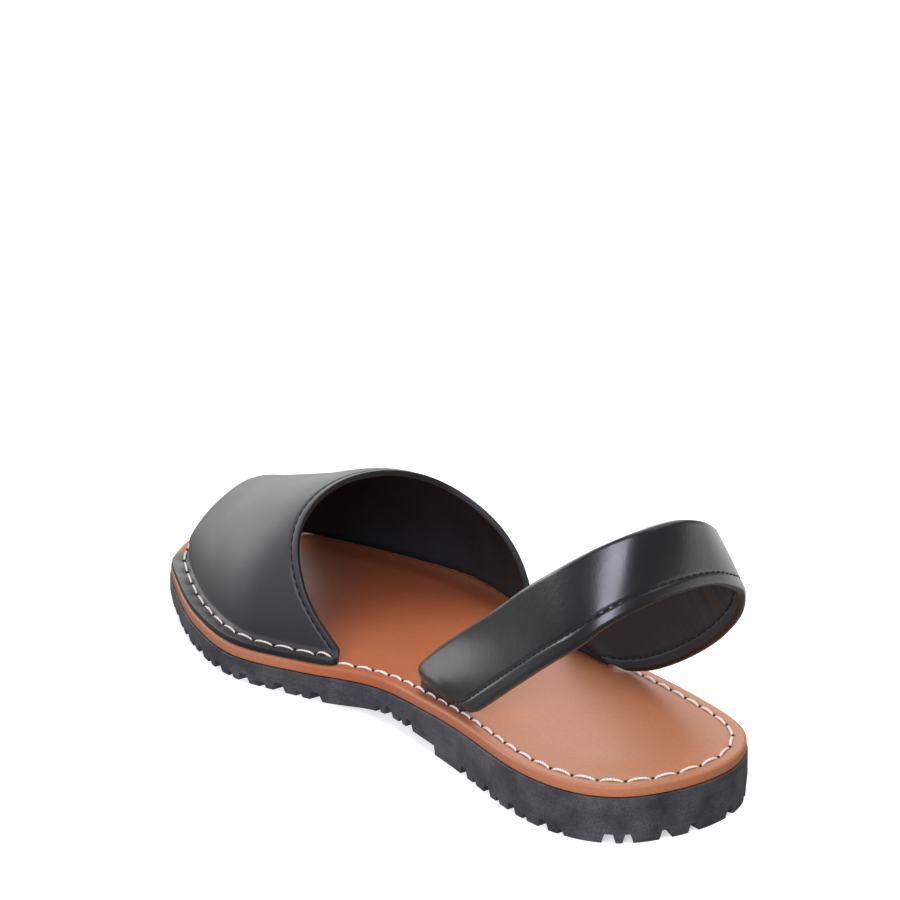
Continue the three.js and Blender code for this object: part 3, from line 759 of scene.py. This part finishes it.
fieldFrom, fieldTo = outsoleLook["field"]
heelPitch, waistPitch = outsoleLook["heelPitch"], outsoleLook["waistPitch"]
waistFrom, waistTo = (breast * length + share * waistPitch for share in outsoleLook["waistField"])
cutField(breast * length - outsoleLook["heelFirst"] * heelPitch, fieldFrom * length, -heelPitch)
cutField(waistFrom, waistTo, waistPitch)
cutField(archEnd * length, fieldTo * length, outsoleLook["forePitch"])
for start, end in ((fieldFrom, breast), (archEnd, fieldTo)):
    for side in (-1, 1):
        shares = np.linspace(start, end, outsoleLook["middleSteps"])
        y = sole["tipShift"] * shares**2 + side * outsoleLook["middleAt"] * sole["heelWidth"]
        path = np.column_stack([shares * length, y])
        cutGroove(path, outsoleLook["middle"], outsoleLook["middleDepth"])
notchFrom = outsoleLook["heelCentre"] * length - outsoleLook["notchReach"]
for end in ("heel", "toe"):
    centre = np.array([outsoleLook[end + "Centre"] * length, 0])
    for degrees, width in outsoleLook[end + "Notches"]:
        outward = np.array([math.cos(math.radians(degrees)), math.sin(math.radians(degrees))])
        path = [centre + outward * far for far in (notchFrom, reach)]
        cutGroove(path, width * outsoleLook["groove"], outsoleLook["grooveDepth"])
print("outsole grooves", len(outsole.data.polygons))
setMaterials(outsole, [blackRubber])
finishPiece(outsole, 32, "outsole")

# The vamp is one sheet: a medial flange, a bend up, the arch over the foot, and the same down again
vampLook = {
    "thickness": 1.8, "leather": 1.25, "lining": 0.5, "liningGap": 0.03, "liningSetIn": 0.35,
    "foot": 4.2, "bend": 2.4, "flangeSetIn": 0.3, "instep": 45,
    "archColumns": 150, "flangeSteps": 8, "bendSteps": 9,
    "rows": 90, "frontRows": (3, 0.4), "rearRows": (6, 0.3),  # reach and step of the finer rows
    "frontSlant": -0.4, "rearSlant": -0.85,  # how far the flange's ends lean back per mm of reach
    "corner": (7, 0.1), "frontCorner": (3.2, 0.45),  # each corner's length and what it leaves of the reach
    "seamFromEdge": 2.6, "groove": 0.45, "grooveSize": 0.5, "lip": 0.08, "lipEdge": 0.6,
    "edgeRound": 0.22,
}
# The arch's height as a share of the instep, and how square its section is
archRows = [
    {"at": 0.5, "height": 1.05, "square": 2.1}, {"at": 0.68, "height": 0.99, "square": 2.02},
    {"at": 0.8, "height": 0.73, "square": 2.2}, {"at": 0.91, "height": 0.485, "square": 2.1},
    {"at": 0.97, "height": 0.39, "square": 2},
]
wallInset = sole["insoleSetIn"] + vampLook["foot"] + vampLook["bend"]
flangeReach = wallInset - sole["insoleSetIn"] - vampLook["flangeSetIn"]


def seat(x):
    return rimTop(x) + sole["gap"] + vampLook["thickness"] / 2


def vampColumns():
    # for each column: side, how far out, how far up, and its place round the arch
    bend = vampLook["bend"]
    feet = [(out, 0) for out in np.linspace(flangeReach, bend, vampLook["flangeSteps"])[:-1]]
    for angle in np.linspace(0, math.pi / 2, vampLook["bendSteps"])[:-1]:
        feet.append((bend * (1 - math.sin(angle)), bend * (1 - math.cos(angle))))
    columns = [("medial", out, up, 0) for out, up in feet]
    columns += [("arch", 0, 0, around) for around in np.linspace(0, 1, vampLook["archColumns"] + 1)]
    columns += [("lateral", out, up, 1) for out, up in reversed(feet)]
    return columns


vampSheetColumns = vampColumns()


def roundedCorner(distance, corner):
    # how much of the flange's reach is left at a distance from its end
    length, left = corner
    return left + (1 - left) * np.sqrt(1 - np.clip(1 - distance / length, 0, 1) ** 2)


def vampSurface(shares):
    # each column's points, at its own shares of the way from the front edge to the rear one
    bend = vampLook["bend"]
    points = np.zeros(shares.shape + (3,))
    for c, (kind, out, up, around) in enumerate(vampSheetColumns):
        share = shares[:, c]
        front = valueAt(vampEdgeRows, "front", around)
        rear = valueAt(vampEdgeRows, "rear", around)
        x = sole["length"] * (front + (rear - front) * share)
        if kind == "arch":
            wall = insetAt("medial" if around < 0.5 else "lateral", wallInset, x)
            square = 2 / valueAt(archRows, "square", x / sole["length"])
            middle = 0.5 * sole["tipShift"]
            turn = math.pi * around
            y = middle + abs(math.cos(turn)) ** square * (wall - middle)
            height = vampLook["instep"] * valueAt(archRows, "height", x / sole["length"])
            z = seat(x) + bend + height * max(math.sin(turn), 0) ** square
        else:
            # the flange narrows in a round corner at both ends
            run = sole["length"] * float(front - rear)
            taper = roundedCorner((1 - share) * run, vampLook["corner"])
            taper = taper * roundedCorner(share * run, vampLook["frontCorner"])
            out = np.where(out > bend, bend + (out - bend) * taper, out)
            slant = vampLook["frontSlant"] + (vampLook["rearSlant"] - vampLook["frontSlant"]) * share
            x = x + out * slant
            near, far = insetAt(kind, wallInset, x), insetAt(kind, wallInset - flangeReach, x)
            y = near + (far - near) * out / flangeReach
            z = seat(x) + up
        points[:, c] = np.column_stack([x, y, z])
    return points


# Rows crowd towards both cut edges. Each is a share of the sheet's length and a distance from there.
coarse = vampSurface(np.repeat(np.linspace(0, 1, 30)[:, None], len(vampSheetColumns), 1))
sheetLength = np.sum(np.linalg.norm(np.diff(coarse, axis=0), axis=2), axis=0)
(frontReach, frontStep), (rearReach, rearStep) = vampLook["frontRows"], vampLook["rearRows"]
rowPlaces = [(0, far) for far in np.arange(0, frontReach, frontStep)]
rowPlaces += [(s, frontReach * (1 - s) - rearReach * s) for s in np.linspace(0, 1, vampLook["rows"])]
rowPlaces += [(1, -far) for far in np.arange(rearReach - rearStep, -0.01, -rearStep)]
shares = np.clip([share + far / sheetLength for share, far in rowPlaces], 0, 1)


def withNormals(points):
    return points, unit(np.cross(np.gradient(points, axis=0), np.gradient(points, axis=1)))


vampMiddle, vampNormal = withNormals(vampSurface(shares))
fromRear = (1 - shares) * sheetLength[None, :]


def vampRelief():
    # the throat's seam sits in a shallow groove with a slightly raised edge behind it
    fromSeam = fromRear - vampLook["seamFromEdge"]
    groove = vampLook["groove"] * np.exp(-(fromSeam / vampLook["grooveSize"]) ** 2)
    edge = vampLook["lipEdge"]
    lip = smooth(vampLook["seamFromEdge"], 1.5 * edge, fromRear) * smooth(0, edge, fromRear)
    relief = vampLook["lip"] * lip - groove
    # each cream stitch pulls the flange down
    holes = holePoints[holeOnFlange]
    for c, (kind, out, up, around) in enumerate(vampSheetColumns):
        if kind == "arch" or out < vampLook["bend"] / 3:
            continue
        column = vampMiddle[:, c]
        relief[:, c] -= seamDip(column[:, 0], column[:, 1], holes)
        relief[:, c] -= seamDip(column[:, 0], column[:, 1], holes, seam["scallopSize"], seam["scallop"])
    return relief


def sheetPiece(name, top, thickness, pull, leather):
    # one leaf of the vamp, laid top mm outside its middle surface, its two long edges pulled in
    middle, normal = vampMiddle, vampNormal
    if pull:
        margin = pull / sheetLength[None, :]
        middle, normal = withNormals(vampSurface(margin + shares * (1 - 2 * margin)))
    points = middle + normal * top[..., None]
    rows, columns = points.shape[:2]
    piece = addGrid(name, columns - 1, rows - 1, lambda i, j: points[j, i])
    setMaterials(piece, [leather, edgeInk])
    if piece.data.polygons[len(piece.data.polygons) // 2].normal.z < 0:
        editMesh(piece, lambda: bpy.ops.mesh.flip_normals())
    applyModifier(
        piece, "SOLIDIFY", thickness=thickness / 1000, offset=-1, use_even_offset=True,
        material_offset_rim=1, use_rim=True,
    )
    return piece


outerTop = vampLook["thickness"] / 2
vampOuter = sheetPiece("vampLeather", outerTop + vampRelief(), vampLook["leather"], 0, vampLeather)
applyModifier(
    vampOuter, "BEVEL", width=vampLook["edgeRound"] / 1000, segments=3, limit_method="ANGLE",
    angle_limit=math.radians(60),
)
innerTop = np.full(shares.shape, outerTop - vampLook["leather"] - vampLook["liningGap"])
vampInner = sheetPiece(
    "vampLining", innerTop, vampLook["lining"], vampLook["liningSetIn"], vampLiningLeather
)
for piece in (vampOuter, vampInner):
    finishPiece(piece, 50, "vamp")
print("vamp", len(vampOuter.data.polygons), len(vampInner.data.polygons))

# The heel strap: its middle line as shares of the sole's length, the heel's width and the strap's
# rise, the band's pitch and lean in degrees, and its width as a share
strapLook = {
    "rise": 68.3, "edge": 1.1, "edgeSteps": 6, "flatSteps": 45, "steps": 420,
    "footRise": 1, "footFade": 9,  # each end runs straight up, and plain for this long
    "crown": 0.35, "footCrown": 0.5, "footCrownFrom": (12, 34),
    "seamFromEdge": 5.0, "groove": 0.34, "grooveSize": 0.45, "fold": 0.06, "foldEdge": 1.5,
    "wrinkles": 90, "wrinkle": 0.75, "wrinkleAt": (0.12, 0.88), "wrinkleSize": (0.5, 1),
    "wrinkleWide": (0.7, 1.3), "wrinkleSlope": (-0.12, 0.12), "wrinkleBend": 0.02,
}
strapColumns = ("along", "across", "up", "pitch", "lean", "wide")
strapRows = [
    (0.364, 0.36, 0.04, 77, 0, 1), (0.346, 0.368, 0.085, 65, 2, 1), (0.315, 0.38, 0.166, 49, 5, 0.98),
    (0.263, 0.4, 0.309, 39, 6, 0.96), (0.206, 0.419, 0.468, 37, 7, 0.96), (0.148, 0.428, 0.635, 37, 8, 0.98),
    (0.092, 0.407, 0.794, 34, 8, 0.98), (0.055, 0.327, 0.923, 26, 9, 0.93), (0.033, 0.2, 1, 18, 5, 0.89),
    (0.029, 0.035, 1.02, 14, 0, 0.86), (0.043, -0.141, 0.972, 15, -7, 0.81),
    (0.065, -0.283, 0.884, 20, -12, 0.8), (0.092, -0.386, 0.79, 28, -14, 0.82),
    (0.122, -0.439, 0.645, 36, -12, 0.9), (0.168, -0.455, 0.479, 38, -8, 0.96),
    (0.224, -0.449, 0.322, 39, -7, 0.98), (0.283, -0.433, 0.192, 43, -5, 1),
    (0.337, -0.418, 0.1, 55, -3, 1), (0.373, -0.408, 0.043, 77, 0, 1),
]


def strapStations():
    feet = {}
    for side in ("medial", "lateral"):
        middle, along = strapFoot(side)
        bottom = float(outsoleTop(middle[0] - band["width"] / 2)) + sole["gap"]
        clear = float(rimTop(middle[0])) + sole["padRise"] + sole["gap"]
        heights = (bottom, clear, clear + strapLook["footRise"])
        feet[side] = [((*middle, z), (*along, 0)) for z in heights]
    free = []
    for values in strapRows:
        row = dict(zip(strapColumns, values))
        pitch, lean = math.radians(row["pitch"]), math.radians(row["lean"])
        width = unit(np.array([math.sin(pitch), -math.sin(lean), math.cos(pitch)])) * row["wide"]
        height = float(rimTop(0)) + row["up"] * strapLook["rise"]
        middle = (row["along"] * sole["length"], row["across"] * sole["heelWidth"], height)
        free.append((middle, tuple(width)))
    stations = feet["medial"] + free + feet["lateral"][::-1]
    return [np.array(values) for values in zip(*stations)]


def throughPoints(points, places):
    # a smooth curve through the stations, with its knots spaced by the root of their distances
    count = len(points)
    found = np.zeros((len(places), 3))
    for n, place in enumerate(places):
        at = place * (count - 1)
        k = min(int(at), count - 2)
        w = at - k
        p1, p2 = points[k], points[k + 1]
        p0 = points[k - 1] if k > 0 else 2 * p1 - p2
        p3 = points[k + 2] if k + 2 < count else 2 * p2 - p1
        spans = ((p0, p1), (p1, p2), (p2, p3))
        d0, d1, d2 = (max(np.sum((b - a) ** 2), 1e-12) ** 0.25 for a, b in spans)
        t1 = ((p1 - p0) / d0 - (p2 - p0) / (d0 + d1) + (p2 - p1) / d1) * d1
        t2 = ((p2 - p1) / d1 - (p3 - p1) / (d1 + d2) + (p3 - p2) / d2) * d1
        found[n] = p1 + t1 * w + (-3 * p1 + 3 * p2 - 2 * t1 - t2) * w**2 + (2 * p1 - 2 * p2 + t1 + t2) * w**3
    return found


middles, widths = strapStations()
places = np.linspace(0, 1, strapLook["steps"] + 1)
strapMiddle = throughPoints(middles, places)
strapWide = throughPoints(widths, places)
strapTangent = unit(np.gradient(strapMiddle, axis=0))
strapOut = unit(np.cross(strapTangent, strapWide))
strapRun = runOf(strapMiddle)
strapEnd = strapRun[-1]
halfWide, halfThick = band["width"] / 2, band["thickness"] / 2


def strapSection():
    # across the band, out of it, and 1 where the lining is
    edge = strapLook["edge"]
    flatWide, flatThick = halfWide - edge, halfThick - edge
    flat = np.linspace(-flatWide, flatWide, strapLook["flatSteps"])
    turns = np.linspace(0, math.pi / 2, strapLook["edgeSteps"])
    upper = [(across, halfThick, 1) for across in flat[:-1]]
    upper += [(flatWide + edge * math.sin(turn), flatThick + edge * math.cos(turn), 0) for turn in turns]
    upper += [(flatWide + edge * math.cos(turn), -flatThick - edge * math.sin(turn), 0) for turn in turns]
    lower = [(-across, -out, lined) for across, out, lined in upper[1:-1]]
    return np.array([(across, out, 0) for across, out, lined in upper] + lower)


section = strapSection()
strapCount = len(section)
bendAt = np.linalg.norm(np.gradient(strapTangent, axis=0), axis=1) / np.gradient(strapRun)
# The lining creases across where the band bends: place, height, width and slope of each crease
creaseKeys = ("wrinkleAt", "wrinkleSize", "wrinkleWide", "wrinkleSlope")
wrinkles = [[random.uniform(*strapLook[key]) for key in creaseKeys] for k in range(strapLook["wrinkles"])]


def crownAt(run, across):
    # the band's outer face is slightly domed, more so near its feet
    nearSlot = 1 - smooth(*strapLook["footCrownFrom"], np.minimum(run, strapEnd - run))
    return (strapLook["crown"] + strapLook["footCrown"] * nearSlot) * (1 - (across / halfWide) ** 2)


def strapPoint(i, j):
    across, out, lined = section[i % strapCount].T
    run = strapRun[j]
    fromLower = across + halfWide
    seamAt, fade = strapLook["seamFromEdge"], strapLook["footFade"]
    groove = strapLook["groove"] * np.exp(-((fromLower - seamAt) / strapLook["grooveSize"]) ** 2)
    fold = strapLook["fold"] * smooth(seamAt, seamAt - strapLook["foldEdge"], fromLower)
    face = np.abs(out) > halfThick - 1e-6
    foot = smooth(0, fade, run) * smooth(strapEnd, strapEnd - fade, run)
    creases = np.zeros(len(across))
    for at, size, wide, slope in wrinkles:
        creases += size * np.exp(-((run - at * strapEnd - slope * across) / wide) ** 2)
    middle = np.clip(1 - (np.abs(across) / (halfWide - strapLook["foldEdge"])) ** 4, 0, 1)
    strength = np.clip(bendAt[j] / strapLook["wrinkleBend"], 0.1, 1)
    relief = (fold - groove) * foot * face * np.sign(out)
    relief += lined * strapLook["wrinkle"] * creases * strength * middle * foot
    relief += crownAt(run, across) * face * (out > 0) * foot
    return strapMiddle[j] + strapWide[j] * across[:, None] + strapOut[j] * (out + relief)[:, None]


strap = addGrid("heelStrapLeather", strapCount, strapLook["steps"], strapPoint)
setMaterials(strap, [strapLeather, strapLiningLeather])
for face in strap.data.polygons:
    column = face.index % strapCount
    face.material_index = int(section[column][2] * section[(column + 1) % strapCount][2])
editMesh(strap, mergeDoubles)
editMesh(strap, closeEnds)
finishPiece(strap, 60, "heel_strap")
print("strap", len(strap.data.polygons))


# A stitch is a rounded bar that rises out of one hole and goes down into the next
stitchForm = {"sides": 8, "rings": 10, "ends": 0.6, "taper": 0.6, "rise": 0.45, "flat": 0.8}


def stitchPoints(i, j, stitch, sink):
    start, end, normal, width, raised, turn = stitch
    along = end - start
    side = np.cross(normal, unit(along))
    t = j / stitchForm["rings"]
    angle = -2 * np.pi * (i % stitchForm["sides"]) / stitchForm["sides"]
    arch = np.sin(np.pi * t)
    thick = width / 2 * (stitchForm["ends"] + (1 - stitchForm["ends"]) * arch ** stitchForm["taper"])
    lift = -sink + (sink + raised) * arch ** stitchForm["rise"]
    lift = lift + thick * stitchForm["flat"] * np.sin(angle)
    offset = np.cos(angle) * thick + turn * arch
    return start + along * t[:, None] + side * offset[:, None] + normal * lift[:, None]


def addStitches(name, stitches, sink, sway, material):
    # each stitch has its start, its end, the surface's normal, and the thread's width and height
    made = []
    for number, stitch in enumerate(stitches):
        stitch = (*stitch, sway * random.uniform(-1, 1))
        made.append(addGrid(
            f"{name}{number}", stitchForm["sides"], stitchForm["rings"],
            lambda i, j: stitchPoints(i, j, stitch, sink),
        ))
    piece = joinPieces(name, made)
    setMaterials(piece, [material])
    finishPiece(piece, 80)


# The cream seam runs round the rim, over the insole and over the vamp's flanges
holeTop = rimTop(holePoints[:, 0]) + np.where(holeOnFlange, sole["gap"] + vampLook["thickness"], 0)
holeTop = holeTop - seam["dip"] / 2
holes = np.column_stack([holePoints, holeTop])
creamSeam = []
for k in range(holeCount):
    following = (k + 1) % holeCount
    start, end = holes[k], holes[following]
    left = (end - start) * seam["endGap"]
    thread = seam["threads"][int(holeOnFlange[k]) + int(holeOnFlange[following])]
    creamSeam.append((start + left, end - left, np.array([0, 0, 1.0]), *thread))
addStitches("creamSeamStitches", creamSeam, seam["sink"], seam["sway"], creamThread)


def pointAt(points, run, at):
    return np.array([np.interp(at, run, points[:, axis]) for axis in range(3)])


def rowOfStitches(points, normals, row):
    # lays one row's stitches along a line, each filling its share of the pitch
    run = runOf(points)
    count = int(run[-1] / row["pitch"])
    stitches = []
    for k in range(count):
        start = (k + 0.5 - row["share"] / 2) / count * run[-1]
        end = (k + 0.5 + row["share"] / 2) / count * run[-1]
        normal = unit(pointAt(normals, run, (start + end) / 2))
        ends = pointAt(points, run, start), pointAt(points, run, end)
        stitches.append((*ends, normal, row["width"], row["raised"]))
    return stitches


# Black seam round the vamp's throat
throatRow = {"pitch": 3.0, "share": 0.8, "width": 0.6, "raised": 0.18, "sink": 0.2}
archFirst = next(c for c, column in enumerate(vampSheetColumns) if column[0] == "arch")
archLast = archFirst + vampLook["archColumns"]
seamShares = 1 - vampLook["seamFromEdge"] / sheetLength
throat = vampSurface(np.repeat(seamShares[None, :], 2, 0))[0][archFirst:archLast + 1]
seamRow = int(np.argmin(np.abs(fromRear[:, archFirst] - vampLook["seamFromEdge"])))
throatNormal = vampNormal[seamRow, archFirst:archLast + 1]
throat = throat + throatNormal * (vampLook["thickness"] / 2 - vampLook["groove"])
throatSeam = rowOfStitches(throat, throatNormal, throatRow)
addStitches("throatStitches", throatSeam, throatRow["sink"], 0, blackThread)

# Black seam along the strap's lower edge, seen on both faces
strapRow = {"pitch": 3.2, "share": 0.82, "width": 0.6, "raised": 0.2, "sink": 0.2, "fromEnds": 8}
free = (strapRun > strapRow["fromEnds"]) & (strapRun < strapEnd - strapRow["fromEnds"])
across = strapLook["seamFromEdge"] - halfWide
for name, face in (("strapStitches", 1), ("strapLiningStitches", -1)):
    out = face * (halfThick - strapLook["groove"]) + (face > 0) * crownAt(strapRun, across)
    line = strapMiddle + strapWide * across + strapOut * out[:, None]
    strapSeam = rowOfStitches(line[free], strapOut[free] * face, strapRow)
    addStitches(name, strapSeam, strapRow["sink"], 0, blackThread)
print("stitches", len(creamSeam), len(throatSeam), len(strapSeam))

# Painted shadow in the needle holes between the cream stitches: a dark disc in each
hole = seam["hole"]
holePieces = []
for x, y, z in holes:
    bpy.ops.object.select_all(action="DESELECT")
    bpy.ops.mesh.primitive_cylinder_add(
        vertices=hole["sides"], radius=hole["radius"] / 1000, depth=hole["depth"] / 1000,
        location=tuple(inFrame((x, y, z + hole["raised"]))),
    )
    bpy.ops.object.transform_apply(location=True, rotation=True, scale=True)
    holePieces.append(bpy.context.object)
needleHoleShadows = joinPieces("needleHoleShadows", holePieces)
setMaterials(needleHoleShadows, [holeShade])
finishPiece(needleHoleShadows, 0)

print("done")
